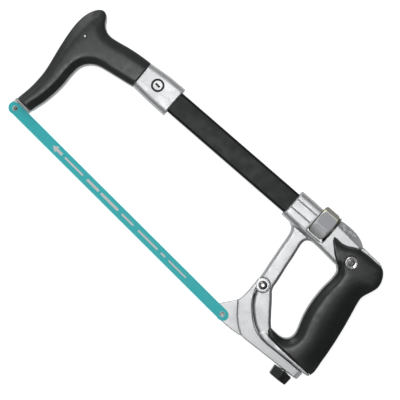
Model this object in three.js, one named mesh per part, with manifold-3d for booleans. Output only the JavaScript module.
// Tubular hacksaw with a rear lever tensioner, lying on its side.
// Millimetres, +Z up. X runs along the blade from the front pin to the rear pin,
// Y runs from the blade to the backbone, Z is the thickness of the saw.
import * as THREE from 'three';
import { mergeVertices } from 'three/addons/utils/BufferGeometryUtils.js';
import Module from 'manifold-3d';

const wasm = await Module();
wasm.setup();

// ---------------------------------------------------------------- dimensions
const PIN_SPAN = 300;            // hole centres of the blade
const HALF_THICK = 16.2;         // half thickness over the two grips
const ORIGIN_X = 195.84;         // middle of the overall length, from the front pin
const ORIGIN_Y = 74.23;          // middle of the overall width, from the blade

const BLADE_HALF = 6.2;          // half width of the blade
const BLADE_T = 0.66;            // blade thickness
const BLADE_Y = -0.2;            // blade centre line
const BLADE_HOLE_R = 2.75;
const BLADE_PIN_R = 1.65;

const TUBE_SLOPE = 3.95 * Math.PI / 180;   // backbone against blade
const TUBE_MID = [190, 125.3];             // a point on the backbone axis
const TUBE_DEPTH = 24.4;
const TUBE_THICK = 13.4;
const TUBE_WALL = 1.6;
const TUBE_FRONT = -121;         // ends of the tube along its axis, from TUBE_MID
const TUBE_REAR = 97;
const STUD_OFFSET = 6.6;         // stud and nut axis above the backbone axis
const STUD_R = 3.0;              // M6 x 1
const NUT_R = 16.6;              // over the corners
const NUT_LEN = 18.6;
const NUT_MID = 119.05;          // along the backbone axis, from TUBE_MID

const PIVOT = [308.0, 50.7];     // tension lever pivot
const PIVOT_R = 4.0;
const EYE_R = 7.7;               // lever eye round the pivot
const KNOB_TILT = 6.2 * Math.PI / 180;
const KNOB_SEAT = [385.1, 3.7];  // where the knob axis meets the lever's underside
const KNOB_R = 12.4;
const KNOB_H = 10.3;
const TENSION_R = 3.0;           // M6 x 1 tension screw
const GRIP_SCREW = [355.8, 130.4];

// ---------------------------------------------------------------- colours
const silver = { color: 0xc9cccd, roughness: 0.42, metalness: 0.85 };
const rubber = { color: 0x2b2d2e, roughness: 0.72, metalness: 0.0 };
const blackEnamel = { color: 0x202323, roughness: 0.45, metalness: 0.1 };
const chrome = { color: 0xdde1e4, roughness: 0.12, metalness: 1.0 };
const steel = { color: 0x9aa0a3, roughness: 0.35, metalness: 1.0 };
const brass = { color: 0xb8964a, roughness: 0.35, metalness: 1.0 };
const blackPlastic = { color: 0x1b1d1e, roughness: 0.5, metalness: 0.0 };
const teal = { color: 0x2fa5a8, roughness: 0.4, metalness: 0.1 };

// ---------------------------------------------------------------- helpers
function solid(geometry, matrix) {
  const g = geometry.clone();
  for (const k of Object.keys(g.attributes)) if (k !== 'position') g.deleteAttribute(k);
  if (matrix) g.applyMatrix4(matrix);
  const m = mergeVertices(g, 1e-5);
  const wm = new wasm.Mesh({
    numProp: 3,
    vertProperties: new Float32Array(m.attributes.position.array),
    triVerts: new Uint32Array(m.index.array),
  });
  wm.merge();
  return new wasm.Manifold(wm);
}
function geometryOf(manifold) {
  const m = manifold.getMesh();
  const g = new THREE.BufferGeometry();
  const p = new Float32Array(m.numVert * 3);
  for (let i = 0; i < m.numVert; i++) for (let k = 0; k < 3; k++) p[3 * i + k] = m.vertProperties[i * m.numProp + k];
  g.setAttribute('position', new THREE.BufferAttribute(p, 3));
  g.setIndex(new THREE.BufferAttribute(new Uint32Array(m.triVerts), 1));
  g.computeVertexNormals();
  return g;
}
function place(x = 0, y = 0, z = 0, rx = 0, ry = 0, rz = 0) {
  return new THREE.Matrix4().compose(
    new THREE.Vector3(x, y, z),
    new THREE.Quaternion().setFromEuler(new THREE.Euler(rx, ry, rz, 'ZYX')),
    new THREE.Vector3(1, 1, 1));
}
function ccw(pts) {
  let a = 0;
  for (let i = 0; i < pts.length; i++) {
    const [x0, y0] = pts[i], [x1, y1] = pts[(i + 1) % pts.length];
    a += x0 * y1 - x1 * y0;
  }
  return a > 0 ? pts : pts.slice().reverse();
}
function shapeOf(pts) { return new THREE.Shape(pts.map(([x, y]) => new THREE.Vector2(x, y))); }
// smooth curve through a run of points
function run(pts, step = 5) {
  const c = new THREE.CatmullRomCurve3(pts.map(([x, y]) => new THREE.Vector3(x, y, 0)), false, 'centripetal');
  const n = Math.max(2, Math.round(c.getLength() / step));
  return c.getSpacedPoints(n).map(p => [p.x, p.y]);
}
function join(...runs) {
  const out = [];
  for (const r of runs) for (const p of r) {
    const q = out[out.length - 1];
    if (!q || Math.hypot(q[0] - p[0], q[1] - p[1]) > 0.25) out.push(p);
  }
  const a = out[0], b = out[out.length - 1];
  if (Math.hypot(a[0] - b[0], a[1] - b[1]) < 0.25) out.pop();
  return out;
}
function distToOutline(p, pts) {
  let best = 1e9;
  for (let i = 0; i < pts.length; i++) {
    const [ax, ay] = pts[i], [bx, by] = pts[(i + 1) % pts.length];
    const dx = bx - ax, dy = by - ay;
    const t = Math.max(0, Math.min(1, ((p[0] - ax) * dx + (p[1] - ay) * dy) / (dx * dx + dy * dy)));
    best = Math.min(best, Math.hypot(p[0] - ax - t * dx, p[1] - ay - t * dy));
  }
  return best;
}
function inwardNormals(pts) {
  const n = pts.length;
  return pts.map((p, i) => {
    const a = pts[(i + n - 1) % n], b = pts[(i + 1) % n];
    let nx = -(b[1] - a[1]), ny = b[0] - a[0];
    const l = Math.hypot(nx, ny) || 1;
    return [nx / l, ny / l];
  });
}
// largest inset of each outline point, up to d, that doesn't cross the middle
function insets(pts, d) {
  const N = inwardNormals(pts), n = pts.length;
  let lim = pts.map((p, i) => {
    let best = 0;
    for (let k = 1; k <= 16; k++) {
      const t = d * k / 16, q = [p[0] + N[i][0] * t, p[1] + N[i][1] * t];
      if (distToOutline(q, pts) < 0.9 * t) break;
      best = t;
    }
    return best;
  });
  for (let s = 0; s < 3; s++) {
    lim = lim.map((v, i) => Math.min(v, (lim[(i + n - 1) % n] + 2 * v + lim[(i + 1) % n]) / 4));
  }
  // pull back wherever the inset outline would cross itself
  const side = (a, b, c) => (b[0] - a[0]) * (c[1] - a[1]) - (b[1] - a[1]) * (c[0] - a[0]);
  for (let pass = 0; pass < 60; pass++) {
    const q = pts.map((p, i) => [p[0] + N[i][0] * lim[i], p[1] + N[i][1] * lim[i]]);
    const bad = new Set();
    for (let i = 0; i < n; i++) {
      const a = q[i], b = q[(i + 1) % n];
      const ox = pts[(i + 1) % n][0] - pts[i][0], oy = pts[(i + 1) % n][1] - pts[i][1];
      if ((b[0] - a[0]) * ox + (b[1] - a[1]) * oy < 0.12 * (ox * ox + oy * oy)) { bad.add(i); bad.add((i + 1) % n); }
      for (let j = i + 2; j < n; j++) {
        if (i === 0 && j === n - 1) continue;
        const c = q[j], d = q[(j + 1) % n];
        if (side(a, b, c) * side(a, b, d) < 0 && side(c, d, a) * side(c, d, b) < 0) {
          if (j - i < n / 2) for (let k = i; k <= j + 1; k++) bad.add(k % n);
          else for (let k = j; k <= i + 1 + n; k++) bad.add(k % n);
        }
      }
    }
    if (!bad.size) break;
    for (const k of bad) lim[k] *= 0.85;
  }
  return { N, lim };
}
// solid of a rounded outline: layers are [z, inset fraction]; first and last are the crowns
function pillow(ptsIn, depth, layers) {
  const pts = ccw(ptsIn);
  const { N, lim } = insets(pts, depth);
  const crown = pts.map((p, i) => [p[0] + N[i][0] * lim[i], p[1] + N[i][1] * lim[i]]);
  const steps = layers.length - 1;
  const g = new THREE.ExtrudeGeometry(shapeOf(crown), { depth: steps, steps, bevelEnabled: false });
  const key = (x, y) => Math.round(x * 2000) + ',' + Math.round(y * 2000);
  const index = new Map(crown.map((p, i) => [key(Math.fround(p[0]), Math.fround(p[1])), i]));
  const pos = g.attributes.position;
  for (let v = 0; v < pos.count; v++) {
    const i = index.get(key(pos.getX(v), pos.getY(v)));
    const [z, f] = layers[Math.round(pos.getZ(v))];
    pos.setXYZ(v, pts[i][0] + N[i][0] * lim[i] * f, pts[i][1] + N[i][1] * lim[i] * f, z);
  }
  return solid(g);
}
// flat plate of an outline between two heights, with a chamfer c on both edges
function plate(ptsIn, z0, z1, c = 0, matrix) {
  const pts = ccw(ptsIn);
  if (!c) {
    const g = new THREE.ExtrudeGeometry(shapeOf(pts), { depth: z1 - z0, bevelEnabled: false, curveSegments: 6 });
    g.translate(0, 0, z0);
    return solid(g, matrix);
  }
  const m = pillow(pts, c, [[z0, 1], [z0 + c, 0], [z1 - c, 0], [z1, 1]]);
  return matrix ? m.transform(matrix.elements) : m;
}
function disc(x, y, r, z0, z1, seg = 24) {
  const g = new THREE.CylinderGeometry(r, r, z1 - z0, seg);
  return solid(g, place(x, y, (z0 + z1) / 2, Math.PI / 2));
}
function box(x0, x1, y0, y1, z0, z1, matrix) {
  const g = new THREE.BoxGeometry(x1 - x0, y1 - y0, z1 - z0);
  g.translate((x0 + x1) / 2, (y0 + y1) / 2, (z0 + z1) / 2);
  return solid(g, matrix);
}
// solid turned round an axis along Z from a closed profile of [radius, z]
function turned(profile, seg = 28) {
  if (profile[0][0] > 0) profile = [...profile, profile[0]];
  const g = new THREE.LatheGeometry(profile.map(([r, z]) => new THREE.Vector2(r, z)), seg);
  const m = solid(g, place(0, 0, 0, Math.PI / 2));
  return m.volume() < 0 ? solid(flip(g), place(0, 0, 0, Math.PI / 2)) : m;
}
function flip(g) {
  const h = g.clone();
  const idx = h.index.array;
  for (let i = 0; i < idx.length; i += 3) { const t = idx[i]; idx[i] = idx[i + 1]; idx[i + 1] = t; }
  return h;
}
function ngon(n, r, start = 0) {
  return Array.from({ length: n }, (_, i) => {
    const a = start + i * 2 * Math.PI / n;
    return [r * Math.cos(a), r * Math.sin(a)];
  });
}
function roundRect(hx, hy, r, seg = 4) {
  const out = [];
  for (const [sx, sy, a0] of [[1, 1, 0], [-1, 1, Math.PI / 2], [-1, -1, Math.PI], [1, -1, 1.5 * Math.PI]]) {
    for (let i = 0; i <= seg; i++) {
      const a = a0 + i / seg * Math.PI / 2;
      out.push([sx * (hx - r) + r * Math.cos(a), sy * (hy - r) + r * Math.sin(a)]);
    }
  }
  return out;
}
const saw = new THREE.Group();
function mesh(name, manifold, look, parent = saw) {
  const material = new THREE.MeshStandardMaterial({ color: look.color, roughness: look.roughness, metalness: look.metalness });
  const m = new THREE.Mesh(geometryOf(manifold), material);
  m.name = name;
  parent.add(m);
  return m;
}
// along-the-backbone frame: local x on the axis, local y across the tube, local z thickness
const TUBE = place(TUBE_MID[0], TUBE_MID[1], 0, 0, 0, TUBE_SLOPE);
const tubePoint = (s, t) => [
  TUBE_MID[0] + s * Math.cos(TUBE_SLOPE) - t * Math.sin(TUBE_SLOPE),
  TUBE_MID[1] + s * Math.sin(TUBE_SLOPE) + t * Math.cos(TUBE_SLOPE)];
// bar whose (y,z) section is extruded along local x from s0 to s1 of the backbone frame
function bar(section, s0, s1, matrix = TUBE, dy = 0) {
  const g = new THREE.ExtrudeGeometry(shapeOf(section), { depth: s1 - s0, bevelEnabled: false });
  // shape x -> local y, shape y -> local z, extrusion -> local x
  const m = new THREE.Matrix4().set(0, 0, 1, s0, 1, 0, 0, dy, 0, 1, 0, 0, 0, 0, 0, 1);
  g.applyMatrix4(m);
  return solid(g, matrix);
}

// ---------------------------------------------------------------- outlines
const FRONT_GRIP = join(
  run([[14.3, 10.0], [15.3, 16.4], [16.6, 21.8], [17.6, 28], [18.3, 35], [18.7, 42], [18.7, 49], [18.3, 55.5], [17.6, 62], [17.3, 68], [17.5, 74.5], [19.2, 80.2], [22.2, 84.8], [26.5, 88.6], [31.5, 91.3], [38.1, 93.2], [47.6, 95.5], [57.2, 97.8], [64, 99.3], [70.2, 100.9]]),
  run([[69.9, 102.5], [69.0, 108], [68.2, 114], [67.8, 120], [67.4, 126], [67.0, 130.5]], 6),
  run([[66.8, 130.8], [57, 129.5], [47, 127.7], [37.4, 125.5], [28, 122.9], [20, 121.2], [14.5, 121.4], [9.6, 123.2], [5.6, 126.4], [2.6, 130.6], [-0.8, 134.0], [-5.2, 134.9], [-9.2, 132.3], [-12.4, 127.2], [-14.5, 121.4], [-15.6, 115.2], [-15.9, 108.6], [-15.4, 101.8], [-14.5, 94.8], [-13.2, 87.6], [-11.7, 80.4], [-10, 73], [-8.2, 65.8], [-6.4, 58.6], [-4.8, 51.6], [-3.7, 44.6], [-3.2, 37.6], [-3.0, 30], [-3.3, 22.5], [-4.0, 15.5], [-4.6, 10.2]]));
const REAR_GRIP = join(
  run([[326.0, 137.9], [327.5, 133.4], [331.2, 129.5], [335.6, 125.8], [340.6, 122.4], [345.4, 119.6], [349.8, 117.2], [352.6, 114.0], [353.6, 109.5], [354.0, 104], [353.9, 97], [354.0, 90], [354.6, 82.5], [355.6, 75], [357.0, 67.6], [359.0, 60.2], [361.6, 53.0], [364.4, 46.4], [366.6, 40.6], [367.1, 36], [365.6, 31], [361.9, 27.4], [356.6, 25.8], [350, 25.4], [343.2, 25.4]]),
  run([[343.2, 25.2], [344.2, 21.6], [347.2, 18.9]], 2.2),
  run([[348, 18.6], [358, 18.4], [368, 18.5], [378, 18.9], [388, 19.4], [398, 19.9], [405.6, 19.9]], 9),
  run([[407.0, 20.6], [407.6, 24.0], [407.0, 30.5], [405.9, 38], [404.8, 45.5], [403.4, 53], [401.9, 60.5], [400.2, 68], [398.4, 75.5], [396.5, 83], [394.4, 90.4], [392.2, 98], [390.1, 105.5], [389.0, 111.8], [389.8, 117.6], [391.8, 124.4], [393.2, 131], [392.2, 137.2], [389.2, 143], [385.2, 147.4], [380.8, 149.3], [374, 148.9], [366.5, 148.6], [359.4, 147.9], [352.4, 146.5], [346.6, 144.2], [341.2, 140.9], [335.6, 138.9], [329.6, 138.4]]));
const D_LEFT = [[344.6, 26.4], [341.0, 29.6], [336.8, 34.2], [332.4, 39.0], [327.6, 44.4], [322.6, 49.8], [318.8, 53.9], [317.4, 57.4], [316.4, 63.6], [315.0, 70], [313.4, 77], [311.8, 84], [310.6, 90.9], [309.1, 97.6], [307.6, 104], [306.6, 109.4], [307.4, 113.8], [310.6, 116.6], [315.2, 117.8], [322, 118.3], [330, 118.4], [338, 118.3], [345, 118.3]];
const GROOVE = [[306.2, 42.2], [310.2, 34.6], [315, 28.3], [320, 23.7], [325.4, 19.4], [331, 15.6], [337, 12.9], [344, 11.3], [352, 11.1], [361, 12.0], [372, 13.1], [384, 14.2], [400.4, 15.5]];
function offsetRun(pts, d) {        // moves an open run sideways, to its left when d > 0
  return pts.map((p, i) => {
    const a = pts[Math.max(0, i - 1)], b = pts[Math.min(pts.length - 1, i + 1)];
    const l = Math.hypot(b[0] - a[0], b[1] - a[1]);
    return [p[0] - (b[1] - a[1]) / l * d, p[1] + (b[0] - a[0]) / l * d];
  });
}
const GROOVE_TOP = run(offsetRun(GROOVE, 0.45), 4);
const GROOVE_LOW = run(offsetRun(GROOVE, -0.45), 4);

// ---------------------------------------------------------------- backbone tube
const backboneGroup = new THREE.Group();
backboneGroup.position.set(TUBE_MID[0], TUBE_MID[1], 0);
backboneGroup.rotation.z = TUBE_SLOPE;
saw.add(backboneGroup);
const ID = new THREE.Matrix4();
const tubeHole = roundRect(TUBE_DEPTH / 2 - TUBE_WALL, TUBE_THICK / 2 - TUBE_WALL, 1.2, 2);
const LOCK_S = -98;             // grub screw that locks the tube in the front casting
const PLUG_PIN_S = 86;          // spring pin through the tube and its end plug
let tube = bar(roundRect(TUBE_DEPTH / 2, TUBE_THICK / 2, 2.8, 4), TUBE_FRONT, TUBE_REAR, ID)
  .subtract(bar(tubeHole, TUBE_FRONT - 1, TUBE_REAR + 1, ID))
  .subtract(disc(PLUG_PIN_S, -4, 2.12, -9, 9, 16));
mesh('backbone_tube', tube, blackEnamel, backboneGroup);

// plug in the rear end of the tube, which carries the adjuster stud
const plugSection = roundRect(TUBE_DEPTH / 2 - TUBE_WALL - 0.12, TUBE_THICK / 2 - TUBE_WALL - 0.12, 1.1, 2);
let plug = bar(plugSection, 76, 99, ID)
  .subtract(bar(ngon(20, STUD_R + 0.12), 79, 100, ID, STUD_OFFSET))
  .subtract(disc(PLUG_PIN_S, -4, 2.12, -9, 9, 16));
mesh('tube_end_plug', plug, steel, backboneGroup);
mesh('plug_spring_pin', disc(PLUG_PIN_S, -4, 2.0, -6.6, 6.6, 16), steel, backboneGroup);
mesh('adjuster_stud', bar(ngon(20, STUD_R), 79.3, 147, ID, STUD_OFFSET), steel, backboneGroup);

// ---------------------------------------------------------------- adjuster nut
const nutGroup = new THREE.Group();
nutGroup.position.set(...tubePoint(NUT_MID, STUD_OFFSET), 0);
nutGroup.rotation.z = TUBE_SLOPE;
saw.add(nutGroup);
function hexNut(rCorner, len, boreR, chamfer, start) {
  const prism = bar(ngon(6, rCorner, start), -len / 2, len / 2, ID);
  const rr = rCorner + 0.01;
  const cone = turned([[0, -len / 2], [rr - chamfer, -len / 2], [rr, -len / 2 + chamfer * 0.8], [rr, len / 2 - chamfer * 0.8], [rr - chamfer, len / 2], [0, len / 2]], 30)
    .transform(new THREE.Matrix4().makeRotationY(Math.PI / 2).elements);
  return prism.intersect(cone).subtract(bar(ngon(24, boreR), -len, len, ID));
}
// the section's x is local y here, so the hexagon's start angle is measured from +Y
mesh('adjuster_nut', hexNut(NUT_R, NUT_LEN, STUD_R + 0.12, 2.2, -10 * Math.PI / 180), chrome, nutGroup);
const washer = bar(ngon(28, 15.4), NUT_LEN / 2 + 0.25, NUT_LEN / 2 + 1.85, ID).subtract(bar(ngon(20, 3.4), 0, 20, ID));
mesh('nut_thrust_washer', washer, steel, nutGroup);

// ---------------------------------------------------------------- front casting
const NOSE = [[-5.0, 9.6], [14.2, 9.4], [13.6, 7.3], [-6.0, 7.3]];
const frontCore = join(
  run([[10.2, 8.2], [12.2, 25], [13.8, 45], [12.8, 62], [12.6, 74], [15.2, 83], [20.4, 90.4], [28, 95.0], [40, 98.2], [55, 101.5], [67, 104.2]], 5),
  [[69.5, 104.4], [67.8, 126.8]],
  run([[65, 126.4], [50, 123.8], [36, 120.6], [24, 117.4], [14, 116.6], [7, 119.2], [2, 124], [-3, 129.6], [-7.5, 127.6], [-10.4, 120], [-11.4, 110], [-10.4, 98], [-7.6, 84], [-4.4, 68], [-1.0, 52], [0.8, 38], [0.9, 22], [-0.4, 8.2]], 5));
const frontSleeve = join([[67.4, 130.9], [69.9, 101.2]].reverse(), [[113.0, 102.4]], [[110.3, 136.4]]);
const sleeveFrontPts = ccw([[69.4, 101.3], [70.8, 101.1], [90, 101.2], [111.6, 102.3], [113.1, 103.4], [110.9, 135.3], [109.6, 136.6], [90, 134.9], [68.2, 131.2], [67.5, 130.4], [68.3, 118], [69.0, 109]]);
const frontLug = join([[13.4, 8.2], [13.4, 3]], run([[11, -1.5], [7, -4.6], [2, -6.2], [-3, -5.6], [-6.4, -2.5], [-7.4, 1.6], [-6.8, 5], [-6, 8.2]], 3));
const noseBlock = [[-5.4, 9.6], [14.0, 9.6], [13.5, 7.0], [-6.4, 7.0]];
let frontFrame = plate(frontCore, -7, 7, 0)
  .add(plate(sleeveFrontPts, -12, 12, 2.6))
  .add(plate(noseBlock, -8.4, 8.4, 0))
  .add(plate(frontLug, -6.4, -0.4, 0))
  .subtract(bar(roundRect(TUBE_DEPTH / 2 + 0.12, TUBE_THICK / 2 + 0.12, 2.9, 4), TUBE_FRONT - 0.5, -60))
  .subtract(disc(0, 0, BLADE_PIN_R + 0.08, -5, 2, 20))
  .subtract(disc(0.1, 102.8, 1.52, -8, 8, 14))
  .subtract(solid(new THREE.CylinderGeometry(2.6, 2.6, 9, 16), place(...tubePoint(LOCK_S, -TUBE_DEPTH / 2 - 4.4), 0, 0, 0, TUBE_SLOPE)));
mesh('front_frame', frontFrame, silver);
mesh('front_blade_pin', turned([[0, -4.9], [BLADE_PIN_R, -4.9], [BLADE_PIN_R, 1.6], [BLADE_PIN_R - 0.5, 2.1], [0, 2.1]], 20), steel);
mesh('tube_lock_screw', solid(new THREE.CylinderGeometry(2.45, 2.45, 4.6, 16), place(...tubePoint(LOCK_S, -TUBE_DEPTH / 2 - 2.5), 0, 0, 0, TUBE_SLOPE)), steel);

// moulded rubber over the front casting
const R = HALF_THICK;
const crownLayers = r => [[-r, 1], [-r + 1.1, 0.5], [-r + 4.8, 0.12], [-r + 9, 0], [r - 9, 0], [r - 4.8, 0.12], [r - 1.1, 0.5], [r, 1]];
const coreGrown = p => offsetClosed(p, -0.14);
function offsetClosed(ptsIn, d) {   // d > 0 shrinks
  const pts = ccw(ptsIn), N = inwardNormals(pts);
  return pts.map((p, i) => [p[0] + N[i][0] * d, p[1] + N[i][1] * d]);
}
let frontGrip = pillow(FRONT_GRIP, 8, crownLayers(R))
  .subtract(plate(coreGrown(frontCore), -7.12, 7.12))
  .subtract(plate(coreGrown(noseBlock), -8.52, 8.52))
  .subtract(plate(offsetClosed(sleeveFrontPts, -0.2), -20, 20))
  .subtract(disc(0.1, 102.8, 1.52, -20, 20, 14));
mesh('front_grip', frontGrip, rubber);
mesh('front_grip_pin', disc(0.1, 102.8, 1.4, -15.4, 15.4, 14), steel);

// ---------------------------------------------------------------- rear frame
const sleeveRear = ccw([[270.0, 117.4], [271.4, 116.2], [283, 116.2], [304, 117.4], [303.6, 123.4], [303, 149.7], [285, 148.8], [271.2, 147.8], [269.0, 146.4]]);
const ribAndBoss = join(
  [[290, 117.0], [300, 117.4]], run([[306, 118.4], [322, 118.6], [345, 118.4]], 12), [[352.5, 118.4], [353.5, 149.8]],
  run([[352.2, 151.4], [348.6, 153.4], [344, 154.9], [339, 155.8], [330, 155.8], [324.4, 155.3]], 4),
  [[320.8, 154.7], [315.6, 152.6], [316.2, 124], [297.6, 123.2], [290, 123.0]]);
const strutAndWeb = join(
  run(D_LEFT.slice().reverse(), 3.6),
  [[349, 22.5], [352, 17.5]],
  [[352, 11.55]], GROOVE_TOP.filter(p => p[0] < 351).reverse(),
  run([[301, 49], [300.4, 55], [299.4, 60.6], [298.2, 66.4], [296.8, 73], [295.6, 80], [294.0, 88], [292.6, 96], [291.3, 103.5], [289.6, 109.6], [287, 113.4], [283, 115.6]], 5),
  [[283, 119.2], [345, 119.2]]);
const baseFlange = join(
  [[343.6, 18.2], [348, 18.2]], run([[358, 18.0], [378, 18.5], [398, 19.5], [405.4, 19.5]], 16), [[407.0, 19.0], [405.4, 16.9], [401.2, 15.9]],
  GROOVE_TOP.filter(p => p[0] > 338).reverse());
const spine = join(
  [[345, 123], [350, 119.5]], run([[356.6, 117], [358.6, 108], [358.8, 98], [359.4, 86], [361.4, 74], [364.6, 62], [368.6, 52], [371.4, 43], [371.0, 34], [366.4, 26], [358, 22.4], [346, 21.8]], 6),
  [[346, 17], [400, 18.5]],
  run([[401.6, 25], [399.6, 42], [396.4, 60], [392.4, 76], [388.0, 92], [384.6, 106], [384.4, 116], [386.8, 126], [387.4, 133], [385.0, 140], [380.8, 145.2]], 6),
  [[381.6, 150.2], [377, 151.2], [366, 150.8], [354, 150.6], [345, 150]]);
const screwSlot = (extra) => {    // clearance for the tension screw as the lever swings
  const top = 34, low = 8;
  const a = s => KNOB_SEAT[0] - Math.sin(KNOB_TILT) * s, b = s => KNOB_SEAT[1] + Math.cos(KNOB_TILT) * s;
  return plate([[a(low) - 7.6, low + 3], [a(low) + 4.4, low + 3], [a(low) + 4.0, top], [a(low) - 7.2, top]], -3.6 - extra, 3.6 + extra);
};
const TRUNNION = [KNOB_SEAT[0] - Math.sin(KNOB_TILT) * 23, KNOB_SEAT[1] + Math.cos(KNOB_TILT) * 23];
let rearFrame = plate(sleeveRear, -12.5, 12.5, 3)
  .add(plate(ribAndBoss, -12.0, 12.0, 2.2))
  .add(plate(strutAndWeb, -7.4, 7.4, 2.0))
  .add(plate(baseFlange, -12.6, 12.6, 0.9))
  .add(plate(spine, -5, 5))
  // nut window: open on both faces and at the top
  .subtract(plate([tubePoint(109.4, -10.3), tubePoint(130.4, -10.3), tubePoint(130.4, 40), tubePoint(109.4, 40)], -20, 20))
  // fork room for the lever eye, outside the central tongue
  .subtract(disc(...PIVOT, EYE_R + 0.5, 3.9, 20, 30))
  .subtract(disc(...PIVOT, EYE_R + 0.5, -20, -3.9, 30))
  .add(disc(...PIVOT, EYE_R - 0.1, -3.9, 3.9, 30))
  .add(plate([[303, 55], [313, 55], [312, 66], [301.6, 66]], -3.9, 3.9))
  .subtract(plate(offsetClosed(join([[300, 43.6]], GROOVE_LOW.filter(p => p[0] < 330), [[300, 10]]), -0.9), -20, 20).subtract(disc(...PIVOT, EYE_R - 0.1, -3.9, 3.9, 30)))
  .subtract(disc(...PIVOT, 5.62, -20, 20, 22))
  // bore for the backbone and for the stud
  .subtract(bar(roundRect(TUBE_DEPTH / 2 + 0.16, TUBE_THICK / 2 + 0.16, 2.9, 4), 60, 101.5))
  .subtract(bar(ngon(20, STUD_R + 0.5), 90, 152, TUBE, STUD_OFFSET))
  // trunnion nut, its bore, and the slot of the tension screw
  .subtract(disc(...TRUNNION, 6.12, -20, 20, 22))
  .subtract(screwSlot(0))
  .subtract(disc(...GRIP_SCREW, 3.4, -20, 20, 20))
  .subtract(solid(new THREE.CylinderGeometry(2.6, 2.6, 6, 16), place(336, 154.0, 0)));
mesh('rear_frame', rearFrame, silver);
mesh('boss_grub_screw', solid(new THREE.CylinderGeometry(2.45, 2.45, 3.2, 16), place(336, 152.9, 0)), steel);

let trunnion = disc(...TRUNNION, 6.0, -4.9, 4.9, 22)
  .subtract(plate([[TRUNNION[0] - 5.4, TRUNNION[1] - 9], [TRUNNION[0] + 4.1, TRUNNION[1] - 9], [TRUNNION[0] + 4.1, TRUNNION[1] + 9], [TRUNNION[0] - 5.4, TRUNNION[1] + 9]], -3.2, 3.2));
mesh('tension_trunnion', trunnion, brass);
mesh('pivot_bush', disc(0, 0, 5.5, -3.8, 3.8, 22).subtract(disc(0, 0, PIVOT_R + 0.12, -9, 9, 22)).translate([...PIVOT, 0]), brass);

// grip halves, joined by the grip screw
const boss = plate(offsetClosed([[300, 100], [353.8, 100], [353.8, 152], [353.0, 157], [300, 157]], 0), -12.12, 12.12);
let rearGripFull = pillow(REAR_GRIP, 8, crownLayers(R))
  .subtract(plate(offsetClosed(spine, -0.14), -5.12, 5.12))
  .subtract(boss)
  .subtract(plate(coreGrown(strutAndWeb), -7.55, 7.55).subtract(box(340, 420, 30, 200, -20, 20)))
  .subtract(plate(coreGrown(baseFlange), -12.75, 12.75))
  .subtract(disc(...GRIP_SCREW, 3.4, -20, 20, 20))
  .subtract(disc(...GRIP_SCREW, 6.7, 13.2, 20, 22))
  .subtract(disc(...GRIP_SCREW, 6.7, -20, -13.2, 22));
const big = (z0, z1) => box(280, 430, -20, 180, z0, z1);
mesh('rear_grip_near', rearGripFull.intersect(big(0.06, 30)), rubber);
mesh('rear_grip_far', rearGripFull.intersect(big(-30, -0.06)), rubber);

const atScrew = m => m.translate([...GRIP_SCREW, 0]);
const cup = turned([[3.0, 13.3], [6.5, 13.3], [6.5, 14.6], [5.9, 15.3], [4.6, 14.3], [3.0, 14.1]], 22);
mesh('grip_cup_washer', atScrew(cup), chrome);
mesh('grip_screw', atScrew(turned([[0, -4], [2.2, -4], [2.2, 13.2], [2.8, 13.4], [2.8, 14.25], [4.2, 14.45], [4.2, 14.9], [3.2, 15.5], [0, 15.9]], 22)), chrome);
mesh('grip_sleeve_nut', atScrew(turned([[2.35, -4.2], [3.2, -4.2], [3.2, -13.3], [6.2, -13.3], [6.2, -14.4], [4.8, -15.3], [0, -15.5], [0, -12.8], [2.35, -12.8]], 22)), steel);

// ---------------------------------------------------------------- tension lever
const leverGroup = new THREE.Group();
leverGroup.position.set(PIVOT[0], PIVOT[1], 0);
saw.add(leverGroup);
const toLever = m => m.translate([-PIVOT[0], -PIVOT[1], 0]);
const leverBody = join(
  run([[330.4, -1.9], [341, -0.9], [355, 0.8], [374, 3.0], [390, 4.9], [400.0, 6.2]], 18),
  [[401.0, 7.2], [401.0, 14.9]], GROOVE_LOW.slice().reverse(),
  [[304.4, 45.6], [301.0, 46.4]], run([[301.3, 42], [301.9, 36], [301.9, 28], [301.1, 21.6]], 6),
  run([[303.8, 18.4], [308, 13.8], [312, 9.6], [316, 6.2], [320.6, 2.9], [325.4, 0.2]], 5));
const leverLug = join(
  run([[331.5, -1.2], [326, -3.2], [320, -4.4], [312, -5.2], [302, -5.7], [295, -5.6], [290.6, -4.0], [288.8, -0.4], [289.4, 4], [291.6, 8.4], [295.6, 14.2], [299.6, 20.2]], 4), [[301.4, 24], [310, 22], [322, 10], [333, 3]]);
let lever = plate(leverBody, -7.4, 7.4, 1.1)
  .add(plate(leverLug, -6.0, -0.4, 0))
  .add(disc(...PIVOT, EYE_R, -7.4, 7.4, 30))
  .subtract(disc(...PIVOT, EYE_R + 0.45, -4.2, 4.2, 30))
  .subtract(plate([[296, 50], [302.4, 43.8], [309.8, 43.2], [330, 60], [296, 80]], -4.2, 4.2))
  .subtract(disc(...PIVOT, PIVOT_R + 0.12, -20, 20, 22))
  .subtract(disc(PIN_SPAN, 0, BLADE_PIN_R + 0.08, -5, 2, 20));
const KNOB = place(KNOB_SEAT[0], KNOB_SEAT[1], 0, 0, 0, KNOB_TILT);
const yCyl = (r, y0, y1, seg, x = 0) => { const g = new THREE.CylinderGeometry(r, r, y1 - y0, seg); g.translate(x, (y0 + y1) / 2, 0); return g; };
lever = lever.subtract(solid(yCyl(TENSION_R + 0.25, -8, 16, 20), KNOB));
mesh('tension_lever', toLever(lever), silver, leverGroup);
mesh('rear_blade_pin', toLever(turned([[0, -4.9], [BLADE_PIN_R, -4.9], [BLADE_PIN_R, 1.6], [BLADE_PIN_R - 0.5, 2.1], [0, 2.1]], 20).translate([PIN_SPAN, 0, 0])), steel, leverGroup);
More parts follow.
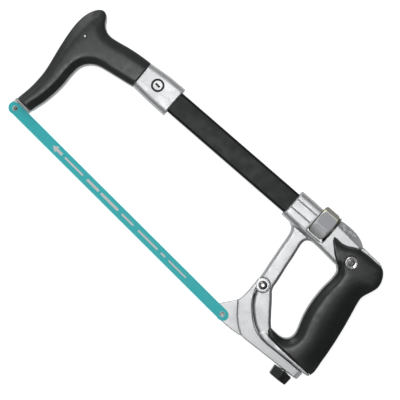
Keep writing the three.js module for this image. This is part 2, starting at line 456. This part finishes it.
mesh('pivot_screw', turned([[0, -9.2], [PIVOT_R, -9.2], [PIVOT_R, 8.6], [4.9, 8.6], [4.9, 9.6], [4.2, 10.5], [2.8, 11.1], [0, 11.4]], 22), chrome, leverGroup);
mesh('pivot_washer', turned([[PIVOT_R + 0.12, 7.5], [6.6, 7.5], [6.6, 8.1], [6.2, 8.5], [PIVOT_R + 0.12, 8.5]], 22), steel, leverGroup);
mesh('pivot_nut', disc(0, 0, 6.4, -11.4, -7.5, 6).subtract(disc(0, 0, PIVOT_R + 0.12, -9.35, 0, 22)), steel, leverGroup);
mesh('pivot_shim_near', disc(0, 0, 7.0, 3.96, 4.14, 22).subtract(disc(0, 0, PIVOT_R + 0.12, 0, 9, 22)), brass, leverGroup);
mesh('pivot_shim_far', disc(0, 0, 7.0, -4.14, -3.96, 22).subtract(disc(0, 0, PIVOT_R + 0.12, -9, 0, 22)), brass, leverGroup);

// knob and its screw, turned so that local y is the screw axis
const knobGroup = new THREE.Group();
knobGroup.position.set(KNOB_SEAT[0], KNOB_SEAT[1], 0);
knobGroup.rotation.z = KNOB_TILT;
saw.add(knobGroup);
const seatWasher = solid(yCyl(6.2, -0.75, -0.12, 24)).subtract(solid(yCyl(TENSION_R + 0.15, -5, 5, 20)));
mesh('knob_seat_washer', seatWasher, steel, knobGroup);
const hexTop = ngon(6, KNOB_R, Math.PI / 2);
const knobProfile = (() => {      // hexagonal prism along -y with eased ends
  const g = new THREE.CylinderGeometry(KNOB_R, KNOB_R - 0.9, KNOB_H, 6, 1);
  g.rotateY(Math.PI / 6 * 0);
  g.translate(0, -0.85 - KNOB_H / 2, 0);
  const lim = new THREE.LatheGeometry([[0, -0.85 - KNOB_H], [KNOB_R - 2.2, -0.85 - KNOB_H], [KNOB_R + 0.1, -KNOB_H + 0.65], [KNOB_R + 0.1, -2.15], [KNOB_R - 1.6, -0.85], [0, -0.85]].map(([r, y]) => new THREE.Vector2(r, y)), 30);
  return solid(g).intersect(solid(lim));
})();
let knob = knobProfile.subtract(solid(yCyl(TENSION_R + 0.12, -8, 2, 20)));
mesh('tension_knob', knob, blackPlastic, knobGroup);
mesh('tension_screw', solid(yCyl(TENSION_R, -7.8, 27, 20)), steel, knobGroup);

// ---------------------------------------------------------------- blade
const bladeTop = BLADE_Y + BLADE_HALF, bladeLow = BLADE_Y - BLADE_HALF;   // the cutting edge is the low one
const bladePts = [];
const XL = -7.4, XR = PIN_SPAN + 7.2;
bladePts.push([-4.2, bladeLow + 0.5], [0, bladeLow]);
bladePts.push([PIN_SPAN - 6, bladeLow], [PIN_SPAN + 2.4, bladeLow]);
for (const [x, y] of [[4.6, -5.2], [6.4, -3.2], [7.2, -0.4], [6.6, 2.6], [4.9, 4.9], [2.4, 6.0]]) bladePts.push([PIN_SPAN + x, y]);
bladePts.push([PIN_SPAN - 1, bladeTop], [-1, bladeTop]);
for (const [x, y] of [[-3.6, 5.4], [-5.9, 3.6], [-7.2, 0.9], [-7.2, -2.2], [-6.2, -4.4]]) bladePts.push([x, y]);
let blade = plate(bladePts, -BLADE_T / 2, BLADE_T / 2)
  .subtract(disc(0, 0, BLADE_HOLE_R, -3, 3, 24))
  .subtract(disc(PIN_SPAN, 0, BLADE_HOLE_R, -3, 3, 24));
mesh('blade', blade, teal);

// the saw lies on its side with the middle of its underside at the origin
saw.position.set(-ORIGIN_X, -ORIGIN_Y, HALF_THICK);
const group = new THREE.Group();
group.add(saw);
export default group;
